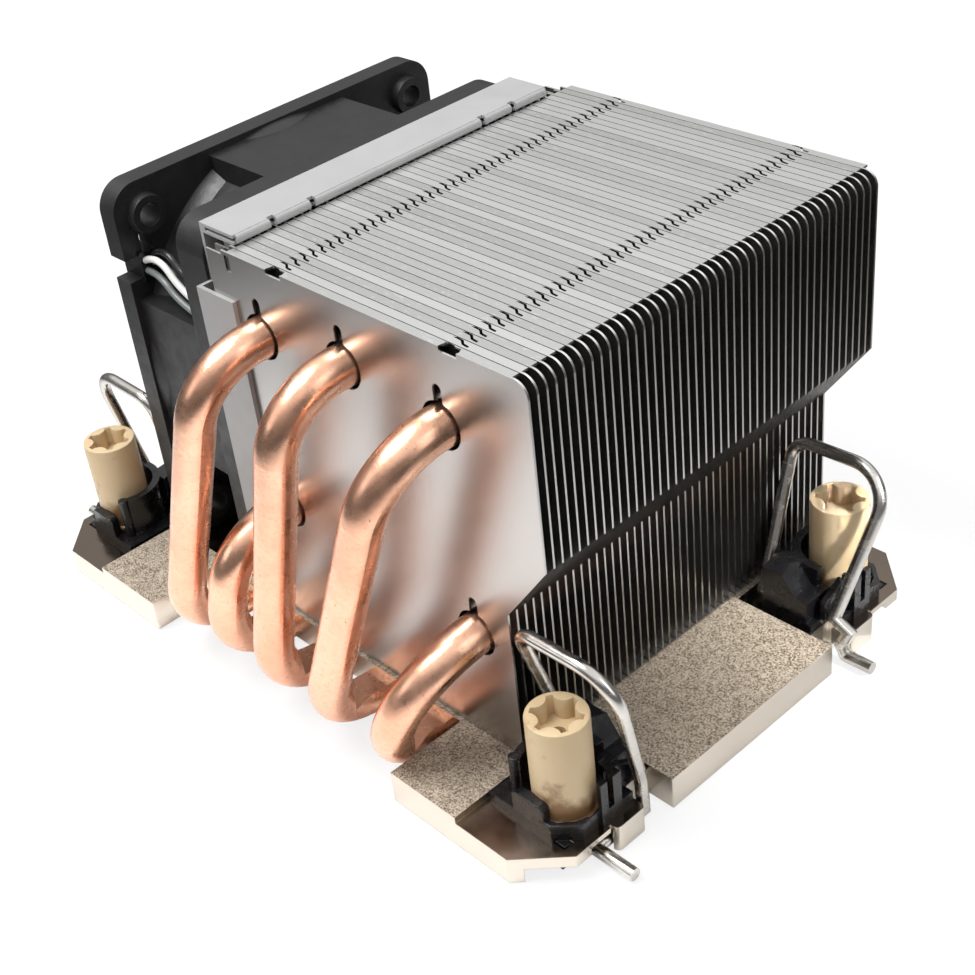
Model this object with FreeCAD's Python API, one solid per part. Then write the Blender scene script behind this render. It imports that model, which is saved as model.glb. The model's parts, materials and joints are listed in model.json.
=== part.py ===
"""Two-unit-high server processor cooler: finned stack, five heat pipes and a side fan.

Millimetres, +Z up.  The origin is the centre of the base's underside, +X is the way
the air leaves the fins, and -X is the side the fan stands on.
"""
import FreeCAD, Part
import math
import os

V = FreeCAD.Vector
X, Y, Z = V(1, 0, 0), V(0, 1, 0), V(0, 0, 1)

# ---- base plate ---------------------------------------------------------------------
base_width = 78.0            # along Y
pad_half_length = 55.5       # corner pads end here along X
tongue_half_length = 56.5    # middle tongues end here along X
core_top = 5.0
pad_top = 4.0
pad_corner_cut = 6.0         # 45 degree cut across a pad's outer corner
slit_floor = 52.2            # slit between a tongue and a pad is cut back to here
guide_proud = 0.8
pipe_recess_left = -26.3     # the near edge is cut back where the pipes turn in
pipe_recess_right = 28.3
pipe_recess_wall = -26.4
pad_pocket_height = 2.2      # hollow under each pad, open towards the end
pad_pocket_inner = 44.0
foot_groove_height = 3.2     # deeper groove in which a bail's foot lies

# ---- nuts and the bolt pattern ---------------------------------------------------------
nut_inset_x = 6.5            # from the pad's end to the nut's axis
nut_inset_y = 11.0
nut_spacing_x = 2 * (pad_half_length - nut_inset_x)
nut_spacing_y = base_width - 2 * nut_inset_y
tongue_half_width = nut_spacing_y / 2 - 11.5
slit_outer_edge = nut_spacing_y / 2 - 6.7
guide_outer_edge = nut_spacing_y / 2 - 1.5      # guide lug beside the slit
pad_pocket_edges = (nut_spacing_y / 2 - 0.4, nut_spacing_y / 2 + 9.6)
core_edge_gap = 8.6          # from the nut's axis to where the raised core ends
core_half_length = nut_spacing_x / 2 - core_edge_gap
nut_radius = 4.05
nut_top = 19.9
nut_collar_radius = 4.4
nut_collar_height = 1.5
nut_shank_radius = 3.7
nut_shank_bottom = 0.8
nut_thread_radius = 2.0
nut_thread_top = 12.0
nut_through_radius = 0.95
socket_depth = 5.8
socket_outer_radius = 3.3
socket_lobe_radius = 1.1
nut_clearance = 0.3          # round the nut in the pad and the retainer

# ---- fin stack ---------------------------------------------------------------------------
fin_count = 45
fin_pitch = 62.6 / 44
fin_thickness = 0.3
fin_first_y = -25.8
fin_top = 64.0
fin_fan_edge = -11.2
fin_outlet_edge = 47.0
fin_foot_edge = core_half_length - 0.8
fin_step_low = 28.6
fin_step_high = 38.5
fin_corner_radius = 2.0
fin_shoulder_drop = 0.6      # small step down at the fan-side end of the top edge
fin_shoulder_x = -7.9
fin_flange_left = -6.8
fin_flange_right = 44.6
fin_flange_gap = 0.12        # fine gap seen between one flange and the next fin
tab_rows = (1.3, 33.0)       # where the flanges hook into each other, as two rows
fin_slot_left = -7.3         # hook slot at the fan-side end of the first fin
fin_slot_width = 1.0
fin_slot_depth = 2.3

# ---- heat pipes: exit x, exit z, foot x, upper bend radius, lower bend radius --------------
pipe_radius = 2.8
pipe_runs = (
    (-2.1, 53.2, -20.0, 9.3, 10.9),
    (-3.6, 25.8, -9.9, 9.5, 10.6),
    (14.6, 54.9, 1.6, 9.1, 10.8),
    (31.9, 53.0, 12.2, 10.1, 10.9),
    (33.3, 22.6, 23.9, 11.9, 10.0),
)
pipe_bend_y = -36.1          # centreline where the upper run turns down
pipe_foot_y = -38.1          # and where the leg turns in under the fins
pipe_foot_z = 2.4
pipe_cut_reach = 5.0            # half width of the bodies that flatten a pipe
pipe_end_y = 38.6
pipe_foot_end_y = 24.0
pipe_flat_low = 0.15         # flattened underside
pipe_flat_high = 4.1         # flattened top inside the base
pipe_flat_start_y = -34.5    # the top starts to flatten here
pipe_flat_rise = 0.35        # this much above the round pipe's top
pipe_flat_end_y = -27.5      # and is flat from here on
pipe_tip_length = 1.6        # sealed tip beyond the last fin
pipe_tip_radius = 1.7
pipe_hole_clearance = 0.45   # hole round each pipe in the first and last fin
pipe_slot_width = 1.5        # solder slot above each hole
pipe_slot_rise = 5.6

# ---- fan -------------------------------------------------------------------------------
fan_size = 60.0
fan_depth = 25.0
fan_back_x = -14.6           # face against the bracket
fan_near_y = -24.5           # its near side
fan_centre_y = fan_near_y + fan_size / 2
fan_seat = 4.1               # pocket in the base's top under the fan
fan_seat_gap = 0.1
seat_margin = 0.5
fan_centre_z = fan_seat + fan_seat_gap + fan_size / 2
fan_outer_flange = 3.6
fan_inner_flange = 6.2
fan_corner_radius = 4.2
fan_bore_radius = fan_size / 2 - 2.7
fan_mouth_radius = fan_bore_radius + 1.4
fan_barrel_wall = 1.2
fan_barrel_root = 2.3        # the barrel's wall where it meets the outer flange
fan_pad_half = 12.6          # flat panels on the four sides of the barrel
fan_pad_reach = fan_size / 2 - 1.1
fan_screw_pitch = fan_size - 10.0
fan_screw_hole = 2.15
fan_notch_drop = 12.55       # lead notch in the outer flange's near edge, below its top
fan_notch_rise = fan_size / 2 - fan_notch_drop
fan_notch_width = 3.5
fan_notch_depth = 5.0
fan_strut_count = 4
fan_strut_width = 2.6
fan_cup_radius = fan_size / 4
fan_cup_depth = 2.0
bearing_tube_outer = 4.6
hub_radius = fan_cup_radius + 0.2
hub_wall = 1.1
hub_front_gap = 1.6          # from the outer flange face to the hub cap
hub_back_gap = 1.0           # from the hub skirt to the stator cup
blade_count = 7
blade_thickness = 1.1
blade_tip_clearance = 0.7
blade_root_pitch = 38.0
blade_tip_pitch = 56.0
shaft_radius = 1.5
shaft_clearance = 0.02
bearing_outer = 4.0
bearing_width = 2.6
magnet_gap = 0.45
magnet_wall = 1.7
yoke_wall = 0.7
core_radius = hub_radius - hub_wall - yoke_wall - magnet_wall - magnet_gap
core_thickness = 7.0
core_poles = 4

# ---- bracket ----------------------------------------------------------------------------
sheet = 0.6
bracket_strip_right = -7.3
bracket_strip_left = -13.4
bracket_strip_hem = 1.4      # outer height of the folded top strip
bracket_strip_span = (-24.0, 33.2)
bracket_lances = (-17.6, -10.9, 20.3, 26.3)     # small notches in the strip's free edge
bracket_side_right = -6.6
bracket_side_low = 18.0
bracket_side_high = 57.0
bracket_window = fan_bore_radius + 1.0
bracket_bottom = core_top

# ---- retainers and wire bails, in each corner's own axes: u and v point away from the middle -
wire_radius = 0.9
hinge_v = -8.3
hinge_z = 5.9
bail_leg_in = -6.5           # u of the two legs at the hinge
bail_leg_out = 5.3
bail_top_in = -8.2           # and at the top
bail_top_out = 7.8
bail_height = 22.0
bail_radius_in = 2.6
bail_radius_out = 5.4
bail_pin_length = 2.6
bail_lean = {"front": 16.0, "right": 24.0, "left": 10.0, "rear": 16.0}
foot_length = 11.8           # u of the foot's end
near_foot_v = 0.6            # the near bails' feet come out beside the nut
near_foot_z = 1.0
far_foot_z = 1.25
retainer_plate = 1.3
retainer_wall_in = 5.2
retainer_wall_out = 6.4
retainer_wall_top = 11.6
corners = {"front": (1, -1), "right": (1, 1), "left": (-1, -1), "rear": (-1, 1)}

# ---- fan lead ---------------------------------------------------------------------------
lead_slot_inset = 4.2        # slots in the outer flange, from its near edge
lead_slot_drop = 9.1         # and from its top and bottom
lead_slot_half = 1.35
clip_reach = 2.8             # grommet at the bottom of the notch
clip_lip = 0.6
lead_radius = 1.2            # sleeved lead outside the fan
lead_wire_radius = 0.5       # single wires between the flanges
lead_wires = {               # each wire's y and z at the inner flange, its bends, and its end
    "black": ((-20.9, 50.0), (-26.4, -20.9, 52.0), (-30.9, -20.9, 55.9), (-20.2, 52.8)),
    "white": ((-21.8, 48.9), (-26.0, -22.2, 50.6), (-30.8, -22.0, 54.9), (-21.5, 52.6)),
    "dark": ((-20.9, 47.9), (-26.4, -21.0, 49.6), (-30.9, -20.8, 53.4), (-20.2, 51.2)),
    "grey": ((-22.2, 47.5), (-26.8, -22.4, 48.6), (-30.9, -22.3, 52.0), (-21.5, 51.0)),
}
lead_route = (               # the lead from the grommet down to the floor and into the coil
    (-50.5, -20.9, 51.65),
    (-55.5, -19.0, 42.0),
    (-58.5, -16.5, 31.5),
    (-61.2, -13.2, 21.6),
    (-64.2, -8.6, 12.9),
    (-66.2, -2.6, 5.4),
    (-66.5, 5.6, 1.9),
)
coil_centre = (-80.0, 20.5)
coil_radius = 13.5           # middle of the turns
coil_turns = 2
coil_slack = 0.2             # round the turns
coil_lift = 0.5              # the tie passes under the coil
coil_outer = coil_radius + lead_radius + coil_slack
coil_stub = 0.5 + math.sqrt(coil_outer ** 2 - (coil_radius - lead_radius) ** 2)
lead_straight = 5.4          # straight out of the coil, then down to the connector
lead_tail = ((-66.8, 40.6, 4.5), (-67.4, 46.6, 3.0))
tie_width = 2.6
tie_wall = 0.5
connector_size = (10.2, 12.4, 5.8)
connector_key = (6.0, 1.2)   # raised rib along the housing
pin_pitch = 2.54


def box(x0, x1, y0, y1, z0, z1):
    """Block between two corners, given in any order."""
    low = V(min(x0, x1), min(y0, y1), min(z0, z1))
    return Part.makeBox(abs(x1 - x0), abs(y1 - y0), abs(z1 - z0), low)


def cylinder(radius, start, end):
    """Round bar between two points."""
    return Part.makeCylinder(radius, (end - start).Length, start, end - start)


def prism(points, along):
    """Flat outline pushed along a vector."""
    return Part.Face(Part.makePolygon(points + points[:1])).extrude(along)


def fuse_all(solids):
    """One solid from several that meet."""
    whole = solids[0].multiFuse(solids[1:]) if len(solids) > 1 else solids[0]
    return whole.removeSplitter()


def rounded_route(points, radii):
    """Wire through the points; a corner with a radius becomes a tangent arc."""
    edges = []
    start = points[0]
    for i in range(1, len(points) - 1):
        back = (points[i - 1] - points[i]).normalize()
        ahead = (points[i + 1] - points[i]).normalize()
        radius = radii[i - 1]
        if radius == 0:
            edges.append(Part.LineSegment(start, points[i]).toShape())
            start = points[i]
            continue
        half = back.getAngle(ahead) / 2
        inwards = (back + ahead).normalize()
        centre = points[i] + inwards * (radius / math.sin(half))
        first = points[i] + back * (radius / math.tan(half))
        last = points[i] + ahead * (radius / math.tan(half))
        edges.append(Part.LineSegment(start, first).toShape())
        edges.append(Part.Arc(first, centre - inwards * radius, last).toShape())
        start = last
    edges.append(Part.LineSegment(start, points[-1]).toShape())
    return Part.Wire(edges)


def tube(points, radii, radius):
    """Round bar along a rounded route."""
    route = rounded_route(points, radii)
    disc = Part.Wire(Part.makeCircle(radius, points[0], points[1] - points[0]))
    return route.makePipeShell([disc], True, False, 1)


def cord_tube(points, radius, name):
    """Cord's tube; each bend is as wide as its two runs allow."""
    radii = []
    for before, at, after in zip(points[:-2], points[1:-1], points[2:]):
        turn = (at - before).getAngle(after - at)
        radii.append(0.45 * min((at - before).Length, (after - at).Length) / math.tan(turn / 2))
    solid = tube(points, radii, radius)
    print(name, "bends", [round(r, 1) for r in radii], "tightest in diameters",
          round(min(radii) / radius / 2, 1))
    return solid


def corner_place(shape, name):
    """Carry a corner's own axes to its nut, mirrored so that u and v point outwards."""
    side_x, side_y = corners[name]
    if side_x < 0:
        shape = shape.mirror(V(0, 0, 0), X)
    if side_y < 0:
        shape = shape.mirror(V(0, 0, 0), Y)
    shape.translate(V(side_x * nut_spacing_x / 2, side_y * nut_spacing_y / 2, 0))
    return shape


# ---- base -----------------------------------------------------------------------------


def pad_solid():
    """One corner pad in the corner's own axes, with its guide lug and underside pocket."""
    ox, oy = nut_spacing_x / 2, nut_spacing_y / 2
    end, side = pad_half_length - ox, base_width / 2 - oy
    inner, slit = core_half_length - ox, tongue_half_width - oy
    gap_edge, lug_edge = slit_outer_edge - oy, guide_outer_edge - oy
    floor = slit_floor - ox
    outline = [V(inner, slit, 0), V(floor, slit, 0), V(floor, gap_edge, 0), V(end, gap_edge, 0),
               V(end, side - pad_corner_cut, 0), V(end - pad_corner_cut, side, 0), V(inner, side, 0)]
    pad = prism(outline, Z * pad_top)
    lug = box(end - 1, end + guide_proud, gap_edge, lug_edge, 0, pad_top)
    lug = lug.makeFillet(guide_proud * 0.9, [e for e in lug.Edges
                                             if abs(e.BoundBox.XMin - end - guide_proud) < 1e-6
                                             and e.BoundBox.ZLength > 1])
    pad = pad.fuse(lug)
    low, high = pad_pocket_edges
    pocket = box(pad_pocket_inner - ox, end + 2, low - oy, high - oy, -1, pad_pocket_height)
    groove = box(end - 2.6, end - 0.1, gap_edge - 1, near_foot_v + 1.8, -1, foot_groove_height)
    mouth = box(end - 2.6, end + 2, near_foot_v - 1.8, near_foot_v + 1.8, -1, foot_groove_height)
    split = box(end - 0.35, end + 2, lug_edge, lug_edge + 0.35, -1, pad_top + 1)
    hole = cylinder(nut_shank_radius + nut_clearance, V(0, 0, -1), V(0, 0, pad_top + 1))
    snap = box(2.6, 4.7, 3.6, 5.2, -1, pad_top + 1)
    pad = pad.cut(pocket).cut(groove).cut(mouth).cut(split).cut(hole).cut(snap)
    return pad.removeSplitter()


def base_plate():
    """Core, two tongues, four pads, the pipe recess and the bores that hold the pipes."""
    half = base_width / 2
    core = box(-core_half_length, core_half_length, -half, half, 0, core_top)
    tongue = box(-tongue_half_length, tongue_half_length, -tongue_half_width, tongue_half_width,
                 0, core_top)
    plate = fuse_all([core, tongue] + [corner_place(pad_solid(), name) for name in corners])
    recess = box(pipe_recess_left, pipe_recess_right, -half - 1, pipe_recess_wall, -1, core_top + 1)
    reach = fan_size / 2 + seat_margin
    seat = box(fan_back_x - fan_depth - 3 * seat_margin, fan_back_x, fan_centre_y - reach,
               fan_centre_y + reach, fan_seat, core_top + 1)
    plate = plate.cut(recess).cut(seat)
    for run in pipe_runs:
        plate = plate.cut(pipe_foot_run(run[2], pipe_recess_wall - 1))
    return plate.removeSplitter()


# ---- heat pipes ---------------------------------------------------------------------------


def pipe_foot_run(foot_x, start_y):
    """Flattened run of a pipe inside the base."""
    bar = cylinder(pipe_radius, V(foot_x, start_y, pipe_foot_z),
                   V(foot_x, pipe_foot_end_y, pipe_foot_z))
    return bar.common(box(foot_x - pipe_cut_reach, foot_x + pipe_cut_reach, start_y - 1, pipe_foot_end_y + 1,
                          pipe_flat_low, pipe_flat_high))


def heat_pipe(exit_x, exit_z, foot_x, upper_radius, lower_radius):
    """Upper run through the fins, a bend, a leg, a bend and the flattened foot."""
    tip_y = pipe_end_y - pipe_tip_length
    points = [V(exit_x, tip_y, exit_z), V(exit_x, pipe_bend_y, exit_z),
              V(foot_x, pipe_foot_y, pipe_foot_z), V(foot_x, pipe_foot_end_y, pipe_foot_z)]
    bar = tube(points, (upper_radius, lower_radius), pipe_radius)
    tip = Part.makeCone(pipe_radius, pipe_tip_radius, pipe_tip_length, points[0], Y)
    reach = pipe_cut_reach
    side = [V(foot_x - reach, pipe_flat_start_y, pipe_foot_z + pipe_radius + pipe_flat_rise),
            V(foot_x - reach, pipe_flat_end_y, pipe_flat_high),
            V(foot_x - reach, pipe_foot_end_y + 1, pipe_flat_high),
            V(foot_x - reach, pipe_foot_end_y + 1, 9), V(foot_x - reach, pipe_flat_start_y, 9)]
    over = prism(side, X * 2 * reach)
    under = box(foot_x - reach, foot_x + reach, pipe_foot_y, pipe_foot_end_y + 1, -5, pipe_flat_low)
    return bar.fuse(tip).cut(over.fuse(under)).removeSplitter()


# ---- fins ----------------------------------------------------------------------------------


def fin_outline(y):
    """Edge of one fin, with the shoulder, the rounded top corner and the slanting step."""
    r = fin_corner_radius
    pts = [V(fin_fan_edge, y, core_top), V(fin_foot_edge, y, core_top),
           V(fin_foot_edge, y, fin_step_low), V(fin_outlet_edge, y, fin_step_high),
           V(fin_outlet_edge, y, fin_top - r)]
    arc_mid = V(fin_outlet_edge - r + r * math.sqrt(0.5), y, fin_top - r + r * math.sqrt(0.5))
    arc_end = V(fin_outlet_edge - r, y, fin_top)
    rest = [V(fin_shoulder_x, y, fin_top), V(fin_shoulder_x, y, fin_top - fin_shoulder_drop),
            V(fin_fan_edge, y, fin_top - fin_shoulder_drop)]
    edges = [Part.LineSegment(a, b).toShape() for a, b in zip(pts[:-1], pts[1:])]
    edges.append(Part.Arc(pts[-1], arc_mid, arc_end).toShape())
    loop = [arc_end] + rest + [pts[0]]
    edges += [Part.LineSegment(a, b).toShape() for a, b in zip(loop[:-1], loop[1:])]
    return Part.Wire(edges)


def hook_cut(x, y):
    """Bent slot in a flange, left where its tongue hooks into the fin behind."""
    outline = [V(x, y + 0.96, 0), V(x + 0.5, y + 1.2, 0), V(x + 1.6, y + 1.14, 0),
               V(x + 2.2, y + 0.62, 0), V(x + 3.1, y + 0.52, 0), V(x + 3.2, y + 0.12, 0),
               V(x + 2.1, y + 0.3, 0), V(x + 1.4, y + 0.84, 0)]
    shape = prism(outline, Z * 2)
    shape.translate(Z * (fin_top - 1))
    return shape


def fin(index):
    """Fin sheet with its top and bottom flanges, which reach to the next fin."""
    y = fin_first_y + index * fin_pitch
    sheet_solid = Part.Face(fin_outline(y)).extrude(Y * fin_thickness)
    reach = y + fin_pitch - fin_flange_gap
    top = box(fin_flange_left, fin_flange_right, y, reach, fin_top - fin_thickness, fin_top)
    bottom = box(fin_fan_edge + 1, fin_foot_edge, y, reach, core_top, core_top + fin_thickness)
    for x in tab_rows:
        top = top.cut(hook_cut(x, y + fin_thickness - 0.2))
    return sheet_solid.fuse([top, bottom]).removeSplitter()


def pierced_fin(index):
    """End fin with a round hole and a solder slot for each pipe, and the hook slot."""
    y = fin_first_y + index * fin_pitch
    solid = fin(index)
    for exit_x, exit_z, *_ in pipe_runs:
        hole = cylinder(pipe_radius + pipe_hole_clearance, V(exit_x, y - 1, exit_z),
                        V(exit_x, y + fin_thickness + 0.3, exit_z))
        half = pipe_slot_width / 2
        slot = box(exit_x - half, exit_x + half, y - 1, y + fin_thickness + 0.3, exit_z,
                   exit_z + pipe_slot_rise - half)
        tip = cylinder(half, V(exit_x, y - 1, exit_z + pipe_slot_rise - half),
                       V(exit_x, y + fin_thickness + 0.3, exit_z + pipe_slot_rise - half))
        solid = solid.cut(hole.fuse([slot, tip]))
    hook = box(fin_slot_left, fin_slot_left + fin_slot_width, y - 1, y + fin_thickness,
               fin_top - 0.5 - fin_slot_depth, fin_top - 0.5)
    if index == 0:
        for x in tab_rows:
            window = cylinder(1.5, V(x + 1.6, y + 0.25, fin_top - 0.7), V(x + 1.6, y + 0.25, fin_top + 1))
            window = window.common(box(x, x + 3.2, y - 1, y + 1.1, 0, fin_top + 2))
            solid = solid.cut(window)
    return solid.cut(hook).removeSplitter()


# ---- bracket ---------------------------------------------------------------------------------


def fan_bracket():
    """Folded sheet: plate with the air window, hemmed top strip and a flange down each side."""
    x0, x1 = fan_back_x, fan_back_x + sheet
    near = fin_first_y - sheet
    far = fin_first_y + fin_count * fin_pitch
    plate = box(x0, x1, near, far + sheet, bracket_bottom, fin_top + bracket_strip_hem)
    window = cylinder(bracket_window, V(x0 - 1, fan_centre_y, fan_centre_z),
                      V(x1 + 1, fan_centre_y, fan_centre_z))
    low, high = bracket_strip_span
    trim = [box(x0 - 1, x1 + 1, near - 1, low, bracket_side_high, 80),
            box(x0 - 1, x1 + 1, high, far + 2, bracket_side_high, 80),
            box(x0 - 1, x1 + 1, near - 1, fan_centre_y - fan_size / 2, 0, bracket_side_low)]
    plate = plate.cut(window)
    for piece in trim:
        plate = plate.cut(piece)
    leaf = 0.45
    outer = box(x0, bracket_strip_right, low, high, fin_top, fin_top + bracket_strip_hem)
    slot = box(x1 + 0.6, bracket_strip_right + 1, low - 1, high + 1, fin_top + leaf,
               fin_top + bracket_strip_hem - leaf)
    strip = outer.cut(slot)
    for y in bracket_lances:
        strip = strip.cut(box(bracket_strip_right - 0.5, bracket_strip_right + 1, y - 0.5, y + 0.5,
                              fin_top - 1, fin_top + 3))
    sides = [box(x0, bracket_side_right, y, y + sheet, bracket_side_low, bracket_side_high)
             for y in (near, far)]
    hole = None
    for dy in (-1, 1):
        for dz in (-1, 1):
            centre = V(x0 - 1, fan_centre_y + dy * fan_screw_pitch / 2,
                       fan_centre_z + dz * fan_screw_pitch / 2)
            bore = cylinder(fan_screw_hole - 0.5, centre, centre + X * 4)
            hole = bore if hole is None else hole.fuse(bore)
    return fuse_all([plate, strip] + sides).cut(hole).removeSplitter()


# ---- fan -----------------------------------------------------------------------------------


def fan_axis(x):
    """Point on the fan's axis."""
    return V(x, fan_centre_y, fan_centre_z)


def ring(inner, outer, x0, x1):
    """Tube wall about the fan's axis."""
    return cylinder(outer, fan_axis(x0), fan_axis(x1)).cut(
        cylinder(inner, fan_axis(x0 - 1), fan_axis(x1 + 1)))


def fan_flange(x0, x1):
    """Square flange with rounded corners and four screw holes, not yet bored."""
    half = fan_size / 2
    plate = box(x0, x1, fan_centre_y - half, fan_centre_y + half, fan_centre_z - half,
                fan_centre_z + half)
    plate = plate.makeFillet(fan_corner_radius,
                             [e for e in plate.Edges if e.BoundBox.XLength > abs(x1 - x0) - 1e-6])
    for dy in (-1, 1):
        for dz in (-1, 1):
            at = fan_axis(x0 - 1) + V(0, dy * fan_screw_pitch / 2, dz * fan_screw_pitch / 2)
            plate = plate.cut(cylinder(fan_screw_hole, at, at + X * (x1 - x0 + 2)))
    return plate


def barrel_root(x):
    """Cone by which the barrel thickens towards the outer flange."""
    return Part.makeCone(fan_bore_radius + fan_barrel_root, fan_bore_radius + fan_barrel_wall, 3.0,
                         fan_axis(x), X)


def fan_frame():
    """Two flanges, the barrel with its flat side panels, four struts and the stator cup."""
    front_x = fan_back_x - fan_depth
    outer = fan_flange(front_x, front_x + fan_outer_flange)
    edge_y = fan_centre_y - fan_size / 2
    notch_z = fan_centre_z + fan_notch_rise
    outer = outer.cut(box(front_x - 1, front_x + fan_outer_flange + 1, edge_y - 1,
                          edge_y + fan_notch_depth, notch_z - fan_notch_width / 2,
                          notch_z + fan_notch_width / 2))
    inner = fan_flange(fan_back_x - fan_inner_flange, fan_back_x)
    barrel = cylinder(fan_bore_radius + fan_barrel_wall, fan_axis(front_x + 1), fan_axis(fan_back_x - 1))
    span = (front_x + 1, fan_back_x - 1)
    panels = [box(*span, fan_centre_y - fan_pad_half, fan_centre_y + fan_pad_half,
                  fan_centre_z - fan_pad_reach, fan_centre_z + fan_pad_reach),
              box(*span, fan_centre_y - fan_pad_reach, fan_centre_y + fan_pad_reach,
                  fan_centre_z - fan_pad_half, fan_centre_z + fan_pad_half)]
    body = fuse_all([outer, inner, barrel, barrel_root(front_x + fan_outer_flange)] + panels)
    body = body.cut(cylinder(fan_bore_radius, fan_axis(front_x - 1), fan_axis(fan_back_x + 1)))
    mouth = Part.makeCone(fan_mouth_radius, fan_bore_radius, 2.4, fan_axis(front_x), X)
    body = body.cut(mouth)
    for side in (1, -1):
        slot_y = edge_y + lead_slot_inset
        slot_z = fan_centre_z + side * (fan_size / 2 - lead_slot_drop)
        body = body.cut(box(front_x - 1, front_x + fan_outer_flange + 1, slot_y - 1.1, slot_y + 0.9,
                            slot_z - lead_slot_half, slot_z + lead_slot_half))
    cup_x = fan_back_x - fan_cup_depth
    cup = cylinder(fan_cup_radius, fan_axis(cup_x), fan_axis(fan_back_x))
    post = cylinder(bearing_tube_outer, fan_axis(cup_x - 12.0), fan_axis(cup_x))
    struts = []
    for k in range(fan_strut_count):
        strut = box(cup_x, fan_back_x, fan_centre_y - fan_strut_width / 2,
                    fan_centre_y + fan_strut_width / 2, fan_centre_z + fan_cup_radius - 1,
                    fan_centre_z + fan_bore_radius + 0.5)
        strut.rotate(fan_axis(0), X, 45 + k * 360 / fan_strut_count)
        struts.append(strut)
    body = fuse_all([body, cup, post] + struts)
    return body.cut(cylinder(bearing_outer, fan_axis(cup_x - 13), fan_axis(fan_back_x - 0.8)))


def blade(turn):
    """One swept blade between the hub and the tip circle."""
    hub_x = fan_back_x - fan_depth + hub_front_gap
    skirt_x = fan_back_x - fan_cup_depth - hub_back_gap
    mid = (hub_x + skirt_x) / 2
    tip = fan_bore_radius - blade_tip_clearance
    wires = []
    for radius, pitch in ((hub_radius - 0.8, blade_root_pitch), (tip + 1.5, blade_tip_pitch)):
        axial = (skirt_x - hub_x) * 0.94 / 2
        sweep = axial * math.tan(math.radians(pitch))
        bow = 0.22 * sweep
        half = blade_thickness / 2 / math.cos(math.radians(pitch))
        points = []
        for t, side in ((-1, 1), (0, 1), (1, 1), (1, -1), (0, -1), (-1, -1)):
            across = t * sweep + (bow if t == 0 else 0) + side * half
            points.append(V(mid + t * axial, fan_centre_y + across, fan_centre_z + radius))
        wires.append(Part.makePolygon(points + points[:1]))
    solid = Part.makeLoft(wires, True, True)
    solid = solid.common(cylinder(tip, fan_axis(hub_x - 1), fan_axis(skirt_x + 1)))
    solid.rotate(fan_axis(0), X, turn)
    return solid


def fan_rotor():
    """Hub cup and its blades in one moulding."""
    hub_x = fan_back_x - fan_depth + hub_front_gap
    skirt_x = fan_back_x - fan_cup_depth - hub_back_gap
    hub = cylinder(hub_radius, fan_axis(hub_x), fan_axis(skirt_x))
    hub = hub.makeChamfer(0.9, [e for e in hub.Edges if e.BoundBox.XLength < 1e-6
                                and abs(e.BoundBox.XMin - hub_x) < 1e-6])
    blades = [blade(k * 360 / blade_count) for k in range(blade_count)]
    body = fuse_all([hub] + blades)
    hollow = cylinder(hub_radius - hub_wall, fan_axis(hub_x + 1.5), fan_axis(skirt_x + 1))
    bore = cylinder(shaft_radius, fan_axis(hub_x + 0.5), fan_axis(skirt_x))
    return body.cut(hollow).cut(bore).removeSplitter()


def rotor_inside():
    """Steel yoke, magnet ring and shaft, which turn with the hub."""
    hub_x = fan_back_x - fan_depth + hub_front_gap
    skirt_x = fan_back_x - fan_cup_depth - hub_back_gap
    outer = hub_radius - hub_wall
    yoke = ring(outer - yoke_wall, outer, hub_x + 1.5, skirt_x - 0.6)
    magnet = ring(core_radius + magnet_gap, outer - yoke_wall, hub_x + 3.5, skirt_x - 1.2)
    shaft = cylinder(shaft_radius, fan_axis(hub_x + 0.5), fan_axis(fan_back_x - 1.4))
    return {"fan_yoke": yoke, "fan_magnet": magnet, "fan_shaft": shaft}


def stator_parts():
    """Pole core, winding bobbin, circuit board and two bearings round the shaft."""
    cup_x = fan_back_x - fan_cup_depth
    core_x = cup_x - 3.4 - core_thickness
    core = cylinder(core_radius, fan_axis(core_x), fan_axis(core_x + core_thickness))
    for k in range(core_poles):
        slot = box(core_x - 1, core_x + core_thickness + 1, fan_centre_y - 1.2, fan_centre_y + 1.2,
                   fan_centre_z + 6.4, fan_centre_z + 20)
        slot.rotate(fan_axis(0), X, 45 + k * 360 / core_poles)
        core = core.cut(slot)
    core = core.cut(cylinder(bearing_tube_outer, fan_axis(core_x - 1), fan_axis(core_x + 20)))
    board = ring(bearing_tube_outer, hub_radius - 3.6, cup_x - 1.2, cup_x - 0.2)
    bearings = []
    for x in (cup_x - 12.0, cup_x - 2.0):
        bearings.append(ring(shaft_radius + shaft_clearance, bearing_outer, x, x + bearing_width))
    return {"fan_stator": core, "fan_board": board, "fan_bearings": Part.makeCompound(bearings)}


def fan_screws():
    """Four pan-head screws through the inner flange into the bracket."""
    solids = []
    head_x = fan_back_x - fan_inner_flange
    for dy in (-1, 1):
        for dz in (-1, 1):
            at = fan_axis(head_x) + V(0, dy * fan_screw_pitch / 2, dz * fan_screw_pitch / 2)
            shank = cylinder(fan_screw_hole - 0.5, at, at + X * (fan_inner_flange + sheet))
            head = cylinder(fan_screw_hole + 1.2, at - X * 1.6, at)
            solids.append(shank.fuse(head).removeSplitter())
    return Part.makeCompound(solids)


# ---- corner hardware ------------------------------------------------------------------------


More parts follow.
